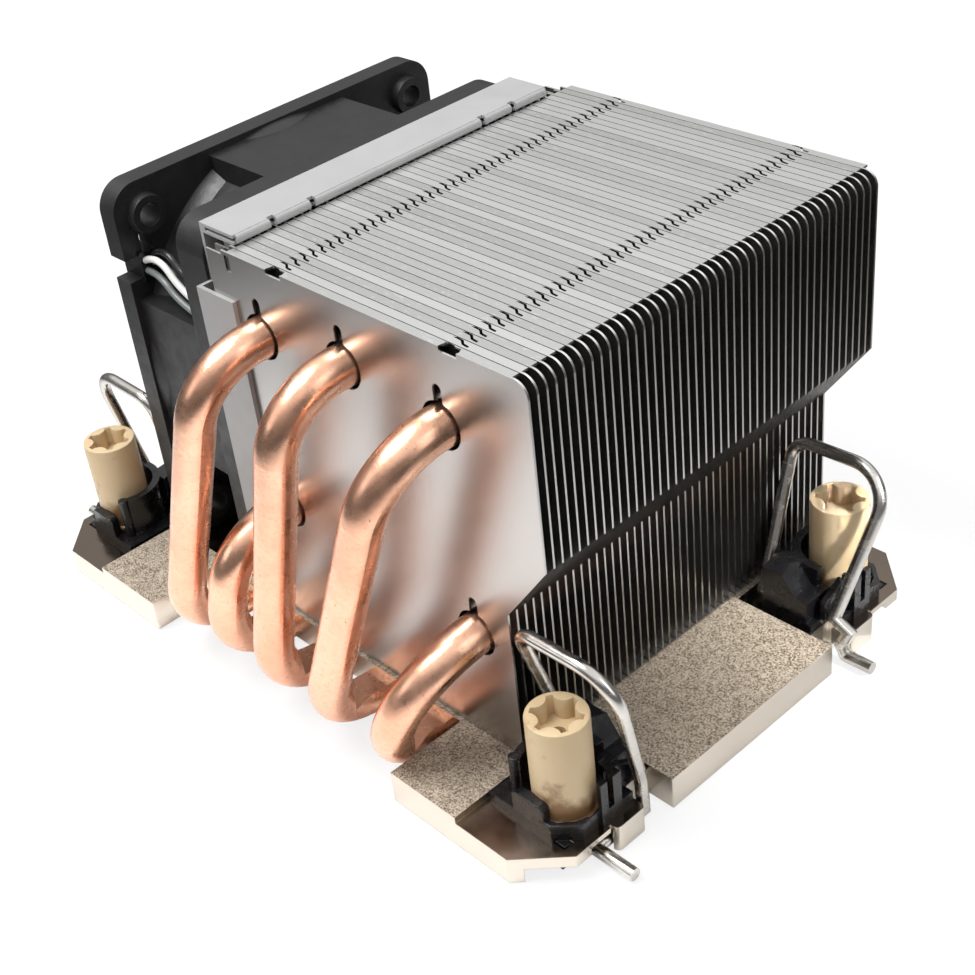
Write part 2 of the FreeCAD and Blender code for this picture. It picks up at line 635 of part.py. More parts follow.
def spring_nut():
    """Tall nut with a six-lobe socket above and a thread bore below."""
    z = pad_top + 0.1
    body = cylinder(nut_radius, V(0, 0, z), V(0, 0, nut_top))
    body = body.makeChamfer(0.35, [e for e in body.Edges if abs(e.BoundBox.ZMin - nut_top) < 1e-6])
    collar = cylinder(nut_collar_radius, V(0, 0, z), V(0, 0, z + nut_collar_height))
    shank = cylinder(nut_shank_radius, V(0, 0, nut_shank_bottom), V(0, 0, z))
    body = fuse_all([body, collar, shank])
    floor = nut_top - socket_depth
    socket = cylinder(socket_outer_radius, V(0, 0, floor), V(0, 0, nut_top + 1))
    for k in range(6):
        angle = math.radians(30 + 60 * k)
        at = V(math.cos(angle), math.sin(angle), 0) * (socket_outer_radius)
        socket = socket.cut(cylinder(socket_lobe_radius, at + Z * (floor - 1), at + Z * (nut_top + 2)))
    thread = cylinder(nut_thread_radius, V(0, 0, -1), V(0, 0, nut_thread_top))
    through = cylinder(nut_through_radius, V(0, 0, 1), V(0, 0, nut_top))
    return body.cut(socket).cut(thread).cut(through)


def retainer():
    """Moulded holder round a nut: foot plate, curved hood, bail bearing, clip post and snap."""
    z0, z1 = pad_top, pad_top + retainer_plate
    outline = [V(-8.2, 5.2, z0), V(2.5, 5.2, z0), V(5.3, 2.4, z0), V(5.3, -6.6, z0),
               V(3.1, -6.6, z0), V(3.1, -10.4, z0), V(-8.2, -10.4, z0)]
    plate = prism(outline, Z * retainer_plate)
    wall = cylinder(retainer_wall_out, V(0, 0, z0), V(0, 0, retainer_wall_top))
    keep = prism([V(0.6, 0, z0), V(1.6, -12, z0), V(-12, -12, z0), V(-12, 3.2, z0), V(-3, 3.2, z0)],
                 Z * 20)
    wall = wall.common(keep)
    bearing = prism([V(-5.2, -10.2, z0), V(-5.2, -10.2, 11.6), V(-5.2, -8.0, 12.2),
                     V(-5.2, -5.0, 11.6), V(-5.2, -5.0, z0)], X * 7.4)
    slope = prism([V(-6, -12, 12.6), V(3, -12, 12.6), V(3, -12, 8.4), V(0.2, -12, 8.8),
                   V(-2.4, -12, 12.4)], Y * 10)
    bearing = bearing.cut(slope)
    post = box(3.6, 5.8, -4.2, -0.6, z0, 11.0).cut(box(4.6, 6.5, -2.8, -1.8, z1 + 1, 12))
    front = box(-3.4, 0.9, 4.2, 5.2, z0, 8.0)
    side = box(4.3, 5.3, -1.2, 1.6, z0, 6.6)
    snap = box(2.8, 4.5, 3.8, 4.9, 1.0, z0).fuse(box(2.8, 4.5, 3.8, 5.6, 0.7, 1.7))
    body = fuse_all([plate, wall, bearing, post, front, side, snap])
    body = body.cut(cylinder(nut_collar_radius + nut_clearance, V(0, 0, 0), V(0, 0, 20)))
    hub = cylinder(retainer_wall_in, V(0, 0, z1), V(0, 0, 20))
    leg_room = box(-8.0, -5.2, -10.6, -5.8, 3, 20)
    body = body.cut(hub).cut(leg_room)
    pin = cylinder(wire_radius + 0.06, V(bail_leg_in - 2, hinge_v, hinge_z),
                   V(bail_leg_in + bail_pin_length + 0.4, hinge_v, hinge_z))
    return body.cut(pin).removeSplitter()


def lean(points, degrees):
    """Points in the bail's own plane, given as u and height, turned out about the hinge."""
    angle = math.radians(degrees)
    return [V(u, hinge_v + h * math.sin(angle), hinge_z + h * math.cos(angle)) for u, h in points]


def wire_bail(name):
    """Bent wire: pin, leg, arched top, leg and the foot that hooks under the socket frame."""
    loop = [(bail_leg_in + bail_pin_length, 0), (bail_leg_in, 0), (bail_top_in, bail_height),
            (bail_top_out, bail_height + 0.4), (bail_leg_out, 0.6)]
    points = lean(loop, bail_lean[name])
    radii = [0, bail_radius_in, bail_radius_out]
    out = bail_leg_out
    if corners[name][1] < 0:
        foot = [V(out, hinge_v, near_foot_z), V(out, near_foot_v, near_foot_z),
                V(foot_length, near_foot_v, near_foot_z)]
        radii += [0, 0, 0]
    else:
        foot = [V(out + 2.6, hinge_v, hinge_z - 0.4), V(out + 1.4, hinge_v, far_foot_z + 1.4),
                V(out + 2.2, hinge_v, far_foot_z), V(foot_length, hinge_v, far_foot_z)]
        radii += [0, 0, 0, 0]
    return tube(points + foot, radii, wire_radius)


# ---- lead -----------------------------------------------------------------------------------


def lead_exit(x):
    """Point on the line on which the lead leaves the grommet."""
    return V(x, fan_centre_y - fan_size / 2 + fan_notch_depth - clip_reach / 2,
             fan_centre_z + fan_notch_rise)


def lead_clip():
    """Grommet at the bottom of the notch, with a lip against each face of the flange."""
    x0 = fan_back_x - fan_depth
    x1 = x0 + fan_outer_flange
    middle = lead_exit(0)
    half_y, half_z = clip_reach / 2, fan_notch_width / 2
    body = box(x0 - clip_lip, x1 + clip_lip, middle.y - half_y, middle.y + half_y,
               middle.z - half_z, middle.z + half_z)
    lips = [box(x, x + clip_lip, middle.y - half_y, middle.y + half_y - clip_lip,
                middle.z - half_z - clip_lip, middle.z + half_z + clip_lip)
            for x in (x0 - clip_lip, x1)]
    return fuse_all([body] + lips)


def lead_pieces():
    """Wires between the flanges, the lead outside, its coil, tie, tail and connector."""
    inner_x = fan_back_x - fan_inner_flange
    clip_x = fan_back_x - fan_depth + fan_outer_flange + clip_lip
    pieces = {"lead_clip": lead_clip()}
    between = box(clip_x, inner_x, fan_near_y, fan_centre_y, fan_centre_z, fan_centre_z + fan_size / 2)
    for name, (first, near, bend, last) in lead_wires.items():
        points = [V(inner_x, *first), V(*near), V(*bend), V(clip_x, *last)]
        points[0] += (points[0] - points[1]).normalize() * lead_wire_radius
        points[3] += (points[3] - points[2]).normalize() * lead_wire_radius
        pieces["lead_wire_" + name] = cord_tube(points, lead_wire_radius, name).common(between)
    centre = V(coil_centre[0], coil_centre[1], 0)
    low = coil_lift
    high = coil_lift + 2 * coil_slack + 2 * lead_radius * (coil_turns + 1)
    reach = lead_radius + coil_slack
    ring_solid = Part.makeCylinder(coil_outer, high - low, centre + Z * low, Z)
    ring_solid = ring_solid.cut(Part.makeCylinder(coil_radius - reach, high, centre, Z))
    way_in = centre + X * coil_radius + Z * (low + reach)
    way_out = centre + X * coil_radius + Z * (high - reach)
    ends = [cylinder(lead_radius, way_in - Y * coil_stub, way_in),
            cylinder(lead_radius, way_out, way_out + Y * coil_stub)]
    pieces["lead_coil"] = fuse_all([ring_solid] + ends)
    start = lead_exit(fan_back_x - fan_depth - clip_lip)
    points = [start] + [V(*p) for p in lead_route] + [way_in - Y * coil_stub]
    pieces["fan_lead"] = cord_tube(points, lead_radius, "fan_lead")
    tail = [way_out + Y * coil_stub, way_out + Y * (coil_stub + lead_straight)]
    tail += [V(*p) for p in lead_tail]
    pieces["lead_tail"] = cord_tube(tail, lead_radius, "lead_tail")
    pieces["lead_tie"] = lead_tie(centre, low, high, reach)
    pieces["lead_connector"] = lead_connector(tail[-1], tail[-1] - tail[-2])
    return pieces


def lead_tie(centre, low, high, reach):
    """Band round the coil's turns, with its head on top."""
    x0, x1 = centre.x - coil_radius - reach, centre.x - coil_radius + reach
    y0, y1 = centre.y - tie_width / 2, centre.y + tie_width / 2
    band = box(x0 - tie_wall, x1 + tie_wall, y0, y1, low - tie_wall, high + tie_wall)
    head = box(x0 + 0.2, x1 - 0.2, y0 - 0.6, y1 + 0.6, high, high + 2.2)
    hole = Part.makeCylinder(coil_outer, high - low, centre + Z * low, Z)
    hole = hole.cut(Part.makeCylinder(coil_radius - reach, high, centre, Z))
    return fuse_all([band, head]).cut(hole)


def lead_connector(end, along):
    """Four-way housing at the tail's end: a box with a rib on top and four sockets."""
    wide, long, tall = connector_size
    rib_wide, rib_tall = connector_key
    body = box(-wide / 2, wide / 2, 0, long, -tall / 2, tall / 2)
    rib = box(-rib_wide / 2, rib_wide / 2, 1.0, long, tall / 2, tall / 2 + rib_tall)
    body = body.fuse(rib).removeSplitter()
    for k in range(4):
        x = (k - 1.5) * pin_pitch
        body = body.cut(box(x - 0.6, x + 0.6, long - 7, long + 1, -0.6, 0.6))
    body.translate(V(end.x, end.y, tall / 2))
    cut_back = Part.makeBox(40, 20, 40, V(-20, -20, -20))
    cut_back.Placement = FreeCAD.Placement(end, FreeCAD.Rotation(Y, along))
    return body.cut(cut_back)


def write(parts):
    """One STEP file for each node."""
    os.makedirs("parts", exist_ok=True)
    for name, shape in parts.items():
        shape.exportStep(os.path.join("parts", name + ".step"))


def build():
    """Every node by name."""
    parts = {"base_plate": base_plate()}
    for number, run in enumerate(pipe_runs, 1):
        parts["heat_pipe_%d" % number] = heat_pipe(*run)
    parts["fin_near"] = pierced_fin(0)
    parts["fin_stack"] = Part.makeCompound([fin(k) for k in range(1, fin_count - 1)])
    parts["fin_far"] = pierced_fin(fin_count - 1)
    parts["fan_bracket"] = fan_bracket()
    parts["fan_frame"] = fan_frame()
    parts["fan_rotor"] = fan_rotor()
    parts.update(rotor_inside())
    parts.update(stator_parts())
    parts["fan_screws"] = fan_screws()
    for name in corners:
        parts["nut_" + name] = corner_place(spring_nut(), name)
        parts["retainer_" + name] = corner_place(retainer(), name)
        parts["bail_" + name] = corner_place(wire_bail(name), name)
    parts.update(lead_pieces())
    return parts


write(build())
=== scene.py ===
import bpy
import json
import math
import numpy as np
from mathutils import Euler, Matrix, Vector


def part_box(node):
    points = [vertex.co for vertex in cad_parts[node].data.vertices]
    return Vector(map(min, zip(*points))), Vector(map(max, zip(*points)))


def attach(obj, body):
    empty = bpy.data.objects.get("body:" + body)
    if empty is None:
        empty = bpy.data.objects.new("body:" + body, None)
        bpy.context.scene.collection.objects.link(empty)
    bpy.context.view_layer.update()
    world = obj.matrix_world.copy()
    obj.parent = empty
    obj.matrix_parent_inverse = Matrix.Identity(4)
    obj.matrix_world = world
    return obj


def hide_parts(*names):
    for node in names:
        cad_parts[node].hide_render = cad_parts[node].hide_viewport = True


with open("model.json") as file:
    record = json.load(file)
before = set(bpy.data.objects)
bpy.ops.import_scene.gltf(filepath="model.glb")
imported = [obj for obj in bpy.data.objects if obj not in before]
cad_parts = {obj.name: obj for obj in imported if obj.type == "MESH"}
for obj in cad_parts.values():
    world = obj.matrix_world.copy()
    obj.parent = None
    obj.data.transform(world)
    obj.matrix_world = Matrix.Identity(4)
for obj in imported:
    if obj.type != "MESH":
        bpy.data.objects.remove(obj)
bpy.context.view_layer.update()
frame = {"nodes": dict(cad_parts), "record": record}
nodes = frame["nodes"]
mm = 0.001


# ---- camera, lamps and floor ---------------------------------------------------------------


def map_range(tree, value, levels, results, kind="SMOOTHSTEP"):
    """Step of a socket's value, from one pair of levels to another pair, smooth or straight."""
    node = tree.nodes.new("ShaderNodeMapRange")
    node.interpolation_type = kind
    node.inputs["From Min"].default_value, node.inputs["From Max"].default_value = levels
    node.inputs["To Min"].default_value, node.inputs["To Max"].default_value = results
    tree.links.new(value, node.inputs["Value"])
    return node.outputs["Result"]


def add_camera():
    """Camera above the near right corner, looking down across the pipes and the fin ends."""
    data = bpy.data.cameras.new("camera")
    data.sensor_width = 36.0
    data.lens = 60.49
    data.shift_x = 0.0487
    data.clip_start = 0.01
    camera = bpy.data.objects.new("camera", data)
    camera.location = (0.15641, -0.12567, 0.15398)
    camera.rotation_euler = Euler((math.radians(55.279), math.radians(6.571), math.radians(47.141)))
    bpy.context.scene.collection.objects.link(camera)
    bpy.context.scene.camera = camera


def add_lamp(name, place, aim, size, power, spread=180):
    """Soft box at a place, facing a point, with its beam narrowed to a spread in degrees."""
    data = bpy.data.lights.new(name, "AREA")
    data.shape = "RECTANGLE"
    data.size, data.size_y = size
    data.energy = power
    data.spread = math.radians(spread)
    lamp = bpy.data.objects.new(name, data)
    lamp.location = place
    direction = np.array(aim) - np.array(place)
    yaw = math.atan2(-direction[0], direction[1])
    pitch = math.acos(-direction[2] / np.linalg.norm(direction))
    lamp.rotation_euler = (pitch, 0, yaw)
    bpy.context.scene.collection.objects.link(lamp)


def add_world():
    """White to the camera; as light, dark near the horizon and bright overhead."""
    sky_heights, sky_strengths = (0.30, 0.72), (0.22, 1.08)
    world = bpy.data.worlds.new("studio")
    bpy.context.scene.world = world
    world.use_nodes = True
    tree = world.node_tree
    tree.nodes.clear()
    out = tree.nodes.new("ShaderNodeOutputWorld")
    mix = tree.nodes.new("ShaderNodeMixShader")
    light = tree.nodes.new("ShaderNodeBackground")
    seen = tree.nodes.new("ShaderNodeBackground")
    path = tree.nodes.new("ShaderNodeLightPath")
    place = tree.nodes.new("ShaderNodeTexCoord")
    split = tree.nodes.new("ShaderNodeSeparateXYZ")
    light.inputs["Color"].default_value = (1, 1, 1, 1)
    seen.inputs["Color"].default_value = (1, 1, 1, 1)
    seen.inputs["Strength"].default_value = 1.0
    tree.links.new(place.outputs["Generated"], split.inputs[0])
    brightness = map_range(tree, split.outputs["Z"], sky_heights, sky_strengths)
    tree.links.new(brightness, light.inputs["Strength"])
    tree.links.new(path.outputs["Is Camera Ray"], mix.inputs[0])
    tree.links.new(light.outputs[0], mix.inputs[1])
    tree.links.new(seen.outputs[0], mix.inputs[2])
    tree.links.new(mix.outputs[0], out.inputs[0])


def add_studio():
    """Soft boxes over the object and a pale floor."""
    bpy.context.scene.view_settings.view_transform = "Standard"
    add_world()
    add_lamp("key", (-0.16, -0.22, 0.60), (0, 0, 0.03), (0.34, 0.34), 4.4)
    add_lamp("side", (0.62, 0.10, 0.36), (0, 0, 0.03), (0.35, 0.5), 0.8)
    add_lamp("near", (-0.30, -0.60, 0.26), (0, 0, 0.03), (0.3, 0.2), 0.3)
    add_lamp("far", (0.36, 0.06, 0.30), (0.052, 0.022, 0.005), (0.03, 0.03), 0.012, 8)
    reach = 1.5
    mesh = bpy.data.meshes.new("floor")
    sides = ((-reach, -reach), (reach, -reach), (reach, reach), (-reach, reach))
    mesh.from_pydata([(x, y, 0) for x, y in sides], [], [(0, 1, 2, 3)])
    floor = bpy.data.objects.new("floor", mesh)
    floor.location.z = -0.2 * mm
    bpy.context.scene.collection.objects.link(floor)
    floor.data.materials.append(floor_finish())


def floor_finish():
    """Floor that shows white to the camera, and that the object mirrors as pale only close by, its
    far part painted dark as painted shade in the reflections.
    """
    seen_tone, glow_share = 0.82, 0.80
    pale_within, dark_beyond = 75 * mm, 150 * mm
    near_tone, far_painted_shade_tone = 0.86, 0.06
    material = bpy.data.materials.new("floor_white")
    material.use_nodes = True
    tree = material.node_tree
    shader = tree.nodes["Principled BSDF"]
    place = tree.nodes.new("ShaderNodeTexCoord")
    reach = tree.nodes.new("ShaderNodeVectorMath")
    reach.operation = "LENGTH"
    tone = tree.nodes.new("ShaderNodeMix")
    tone.data_type = "FLOAT"
    tone.inputs[3].default_value = seen_tone
    tree.links.new(place.outputs["Object"], reach.inputs[0])
    # Painted shade: beyond the pale ring the floor darkens, seen only in reflections and bounce
    # light.
    painted_shade_fade = map_range(tree, reach.outputs["Value"], (pale_within, dark_beyond), (near_tone, far_painted_shade_tone),
                     "LINEAR")
    tree.links.new(painted_shade_fade, tone.inputs[2])
    tree.links.new(tone.outputs[0], shader.inputs["Base Color"])
    shader.inputs["Roughness"].default_value = 0.6
    shader.inputs["Specular IOR Level"].default_value = 0.2
    out = tree.nodes["Material Output"]
    path = tree.nodes.new("ShaderNodeLightPath")
    lift = tree.nodes.new("ShaderNodeEmission")
    lift.inputs["Color"].default_value = (1, 1, 1, 1)
    lift.inputs["Strength"].default_value = 1.0
    mix = tree.nodes.new("ShaderNodeMixShader")
    share = tree.nodes.new("ShaderNodeMath")
    share.operation = "MULTIPLY"
    share.inputs[1].default_value = glow_share
    tree.links.new(path.outputs["Is Camera Ray"], tone.inputs[0])
    tree.links.new(path.outputs["Is Camera Ray"], share.inputs[0])
    tree.links.new(share.outputs[0], mix.inputs[0])
    tree.links.new(shader.outputs[0], mix.inputs[1])
    tree.links.new(lift.outputs[0], mix.inputs[2])
    tree.links.new(mix.outputs[0], out.inputs["Surface"])
    return material


# ---- finishes -----------------------------------------------------------------------------


class Finish:
    """A procedural material on Object coordinates, built up node by node."""

    def __init__(self, name, colour, roughness, metallic=0.0, **sockets):
        self.material = bpy.data.materials.new(name)
        self.material.use_nodes = True
        self.tree = self.material.node_tree
        self.shader = self.tree.nodes["Principled BSDF"]
        self.shader.inputs["Base Color"].default_value = (*colour, 1)
        self.shader.inputs["Roughness"].default_value = roughness
        self.shader.inputs["Metallic"].default_value = metallic
        for key, value in sockets.items():
            self.shader.inputs[key.replace("_", " ")].default_value = value
        self.coords = self.tree.nodes.new("ShaderNodeTexCoord").outputs["Object"]
        self.height = None

    def link(self, source, target):
        """Joins two sockets."""
        self.tree.links.new(source, target)

    def soften(self, radius):
        """Rounds the edges in the shading only, by so many metres."""
        node = self.tree.nodes.new("ShaderNodeBevel")
        node.samples = 4
        node.inputs["Radius"].default_value = radius
        self.height = node.outputs["Normal"]
        self.link(self.height, self.shader.inputs["Normal"])

    def stretch(self, scale):
        """Object coordinates scaled along each axis."""
        mapping = self.tree.nodes.new("ShaderNodeMapping")
        mapping.inputs["Scale"].default_value = scale
        self.link(self.coords, mapping.inputs["Vector"])
        return mapping.outputs["Vector"]

    def noise(self, scale, detail=3.0, rough=0.5, along=(1, 1, 1)):
        """Noise with cells of about 1/scale metres, stretched along the axes."""
        node = self.tree.nodes.new("ShaderNodeTexNoise")
        node.inputs["Scale"].default_value = scale
        node.inputs["Detail"].default_value = detail
        node.inputs["Roughness"].default_value = rough
        self.link(self.stretch(along), node.inputs["Vector"])
        return node.outputs["Fac"]

    def cells(self, scale):
        """Distance to the nearest of scattered points."""
        node = self.tree.nodes.new("ShaderNodeTexVoronoi")
        node.inputs["Scale"].default_value = scale
        self.link(self.coords, node.inputs["Vector"])
        return node.outputs["Distance"]

    def axis(self, letter):
        """One of the Object coordinates."""
        node = self.tree.nodes.new("ShaderNodeSeparateXYZ")
        self.link(self.coords, node.inputs[0])
        return node.outputs[letter]

    def facing(self, letter):
        """One part of the surface normal."""
        geometry = self.tree.nodes.new("ShaderNodeNewGeometry")
        node = self.tree.nodes.new("ShaderNodeSeparateXYZ")
        self.link(geometry.outputs["Normal"], node.inputs[0])
        return node.outputs[letter]

    def math(self, kind, a, b=0.0):
        """Arithmetic on sockets or numbers."""
        node = self.tree.nodes.new("ShaderNodeMath")
        node.operation = kind
        for slot, value in zip(node.inputs, (a, b)):
            if isinstance(value, (int, float)):
                slot.default_value = value
            else:
                self.link(value, slot)
        return node.outputs[0]

    def band(self, value, low, high, to_low=0.0, to_high=1.0):
        """Smooth step of a value from one level to another."""
        return map_range(self.tree, value, (low, high), (to_low, to_high))

    def blend(self, share, a, b):
        """Colour mix of two colours or sockets by a share."""
        node = self.tree.nodes.new("ShaderNodeMix")
        node.data_type = "RGBA"
        self.link(share, node.inputs["Factor"])
        inputs = [s for s in node.inputs if s.type == "RGBA"]
        for slot, value in zip(inputs, (a, b)):
            if isinstance(value, tuple):
                slot.default_value = (*value, 1)
            else:
                self.link(value, slot)
        return [s for s in node.outputs if s.type == "RGBA"][0]

    def colour(self, socket):
        """Base colour from a socket."""
        self.link(socket, self.shader.inputs["Base Color"])

    def gloss(self, socket):
        """Roughness from a socket."""
        self.link(socket, self.shader.inputs["Roughness"])

    def metal(self, socket):
        """Share of bare metal from a socket."""
        self.link(socket, self.shader.inputs["Metallic"])

    def bump(self, value, depth):
        """Adds a height of so many metres on top of what is there."""
        node = self.tree.nodes.new("ShaderNodeBump")
        node.inputs["Distance"].default_value = depth
        node.inputs["Strength"].default_value = 1.0
        self.link(value, node.inputs["Height"])
        if self.height is not None:
            self.link(self.height, node.inputs["Normal"])
        self.height = node.outputs["Normal"]
        self.link(self.height, self.shader.inputs["Normal"])


def nickel_base():
    """Machined nickel-plated base: smooth pads, and grainy brown speckle on the raised core; upward
    faces painted darker and side faces lighter, as painted shade and painted light.
    """
    core_top = 5.0 * mm
    f = Finish("nickel_base", (0.5, 0.46, 0.4), 0.3, 1.0)
    f.soften(0.18 * mm)
    raised = f.band(f.axis("Z"), core_top - 0.4 * mm, core_top - 0.2 * mm)
    up = f.band(f.facing("Z"), 0.6, 0.9)
    grainy = f.math("MULTIPLY", raised, up)
    fine = f.noise(4300, 3.0, 0.8)
    coarse = f.noise(700, 3.0, 0.6)
    dots = f.band(f.math("ADD", f.math("MULTIPLY", fine, 0.88), f.math("MULTIPLY", coarse, 0.12)),
                  0.40, 0.62)
    # Painted light and shade: the same plating is given a lighter tone on side faces and a darker one
    # on upward pads, by which way they face.
    side = f.blend(f.noise(60, 3.0, 0.5), (0.74, 0.68, 0.60), (0.64, 0.58, 0.50))
    pad_painted_shade = f.blend(f.noise(60, 3.0, 0.5), (0.22, 0.175, 0.14), (0.155, 0.125, 0.10))
    speckled = f.blend(dots, (0.56, 0.475, 0.37), (0.065, 0.042, 0.026))
    f.colour(f.blend(grainy, f.blend(up, side, pad_painted_shade), speckled))
    smooth = f.band(f.noise(300, 3.0, 0.6), 0.3, 0.7, 0.16, 0.26)
    f.gloss(f.math("ADD", smooth, f.math("MULTIPLY", grainy, 0.30)))
    f.metal(f.math("SUBTRACT", 1.0, f.math("MULTIPLY", grainy, 0.85)))
    f.bump(f.math("MULTIPLY", fine, grainy), 0.12 * mm)
    f.bump(f.noise(250, 4.0, 0.6, (1, 12, 12)), 0.005 * mm)
    return f.material


def copper_pipe():
    """Bare drawn copper, satin, with dark flecks, a mottled skin and duller patches."""
    f = Finish("copper_pipe", (0.88, 0.52, 0.36), 0.3, 1.0)
    patch = f.noise(70, 4.0, 0.55)
    base = f.blend(f.band(patch, 0.35, 0.7), (0.95, 0.56, 0.39), (0.84, 0.45, 0.30))
    mottle = f.band(f.noise(1300, 4.0, 0.65), 0.45, 0.75, 0.0, 0.30)
    base = f.blend(mottle, base, (0.58, 0.27, 0.17))
    flecks = f.band(f.noise(2100, 3.0, 0.6, (1, 1, 0.45)), 0.69, 0.76)
    f.colour(f.blend(flecks, base, (0.25, 0.11, 0.07)))
    f.gloss(f.band(f.noise(260, 4.0, 0.6), 0.3, 0.7, 0.22, 0.36))
    f.bump(f.noise(1100, 4.0, 0.65), 0.022 * mm)
    f.bump(f.noise(120, 2.0, 0.5), 0.04 * mm)
    return f.material


def fin_sheet():
    """Rolled aluminium fins: upright brushing on the faces, and a tone for each top flange, painted
    lighter than the faces as painted light, with painted glints on top.
    """
    inner_fins = 43
    first_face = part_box("fin_near")[0][1]
    stack_low, stack_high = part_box("fin_stack")
    pitch = float(stack_high[1] - stack_low[1]) / inner_fins
    f = Finish("fin_sheet", (0.72, 0.71, 0.70), 0.32, 1.0)
    depth = f.math("SUBTRACT", f.axis("Y"), float(first_face) - 0.01 * mm)
    order = f.math("FLOOR", f.math("DIVIDE", depth, pitch))
    random = f.tree.nodes.new("ShaderNodeTexWhiteNoise")
    random.noise_dimensions = "1D"
    f.link(order, random.inputs["W"])
    # Painted light: upward top flanges take a much lighter tone than the faces, with painted glints
    # as highlights; the tone that differs from fin to fin is random.
    top = f.band(f.facing("Z"), 0.6, 0.9)
    tone = f.blend(random.outputs["Value"], (0.94, 0.94, 0.93), (0.72, 0.72, 0.71))
    face = f.blend(f.noise(45, 2.0, 0.5), (0.56, 0.545, 0.53), (0.48, 0.465, 0.45))
    upright = f.noise(5200, 2.0, 0.6, (1, 1, 0.035))
    lengthwise = f.noise(5200, 2.0, 0.6, (0.02, 1, 1))
    glints = f.band(f.noise(2600, 2.0, 0.5, (0.35, 1, 1)), 0.58, 0.72, 0.0, 0.85)
    lit = f.blend(glints, tone, (0.95, 0.95, 0.94))
    f.colour(f.blend(top, face, lit))
    f.gloss(f.blend(top, (0.27, 0.27, 0.27), (0.36, 0.36, 0.36)))
    f.bump(f.math("MULTIPLY", upright, f.math("SUBTRACT", 1.0, top)), 0.008 * mm)
    f.bump(f.math("MULTIPLY", lengthwise, top), 0.006 * mm)
    return f.material


def white_sheet():
    """Light grey coated steel, satin with a faint orange-peel."""
    f = Finish("white_sheet", (0.5, 0.5, 0.5), 0.38, 0.0)
    f.soften(0.12 * mm)
    f.colour(f.blend(f.noise(120, 3.0, 0.5), (0.37, 0.37, 0.37), (0.31, 0.31, 0.31)))
    f.gloss(f.band(f.noise(350, 2.0, 0.5), 0.3, 0.7, 0.32, 0.45))
    f.bump(f.noise(1400, 2.0, 0.5), 0.01 * mm)
    return f.material


def moulded(name, dark, light, roughness):
    """Moulded plastic with a fine spark-eroded skin."""
    f = Finish(name, dark, roughness, 0.0)
    f.soften(0.16 * mm)
    f.colour(f.blend(f.noise(260, 3.0, 0.6), dark, light))
    f.gloss(f.band(f.noise(420, 3.0, 0.6), 0.3, 0.7, roughness - 0.06, roughness + 0.08))
    f.bump(f.noise(3200, 2.0, 0.5), 0.02 * mm)
    return f.material


def beige_nut():
    """Beige engineering plastic with brownish blotches, more of them towards the foot."""
    f = Finish("beige_nut", (0.62, 0.50, 0.33), 0.42, 0.0, Subsurface_Weight=0.05)
    # Brown blotches from noise, with more of them lower down towards the foot.
    low = f.band(f.axis("Z"), 6 * mm, 14 * mm, 0.30, 0.0)
    brown_blotch = f.band(f.math("ADD", f.noise(230, 4.0, 0.6), low), 0.58, 0.84)
    base = f.blend(f.noise(130, 3.0, 0.5), (0.62, 0.47, 0.29), (0.52, 0.38, 0.22))
    f.colour(f.blend(brown_blotch, base, (0.24, 0.13, 0.06)))
    f.gloss(f.band(f.noise(500, 2.0, 0.5), 0.3, 0.7, 0.34, 0.48))
    f.bump(f.noise(900, 2.0, 0.5, (0.15, 0.15, 1)), 0.01 * mm)
    return f.material


def steel(name, light, dark, roughness):
    """Bright steel with fine drawing lines."""
    f = Finish(name, light, roughness, 1.0)
    f.colour(f.blend(f.noise(400, 3.0, 0.6), light, dark))
    lines = f.noise(900, 3.0, 0.6, (0.3, 1, 1))
    f.gloss(f.band(lines, 0.3, 0.7, roughness - 0.05, roughness + 0.1))
    f.bump(f.noise(2400, 2.0, 0.6), 0.004 * mm)
    return f.material


def winding():
    """Enamelled copper turns on a laminated core, as a sine of X, with the troughs between turns
    painted darker as painted shade.
    """
    turns = 9000.0
    f = Finish("winding", (0.55, 0.22, 0.09), 0.35, 1.0)
    ridges = f.math("SINE", f.math("MULTIPLY", f.axis("X"), turns))
    # Painted shade: the troughs between turns are darker than the crests.
    f.colour(f.blend(f.band(ridges, -0.5, 0.5), (0.60, 0.25, 0.10), (0.30, 0.12, 0.06)))
    f.bump(ridges, 0.03 * mm)
    return f.material


def circuit_board():
    """Green solder mask with lighter tracks."""
    f = Finish("board", (0.03, 0.18, 0.08), 0.3)
    tracks = f.band(f.cells(700), 0.0, 0.08, 1.0, 0.0)
    f.colour(f.blend(tracks, (0.03, 0.18, 0.08), (0.08, 0.35, 0.16)))
    return f.material


def sleeve():
    """Black braided sleeve: a sine of Z times a sine of X plus Y, as crossing strands, with the
    hollows of the weave painted darker as painted shade.
    """
    braid = 6000.0
    f = Finish("sleeve", (0.012, 0.012, 0.013), 0.5)
    level = f.math("ADD", f.axis("X"), f.axis("Y"))
    strands = f.math("MULTIPLY", f.math("SINE", f.math("MULTIPLY", f.axis("Z"), braid)),
                     f.math("SINE", f.math("MULTIPLY", level, braid)))
    # Painted shade: the hollows of the weave are darker than the strand crests.
    f.colour(f.blend(f.band(strands, -0.4, 0.4), (0.008, 0.008, 0.009), (0.03, 0.03, 0.032)))
    f.bump(strands, 0.06 * mm)
    return f.material


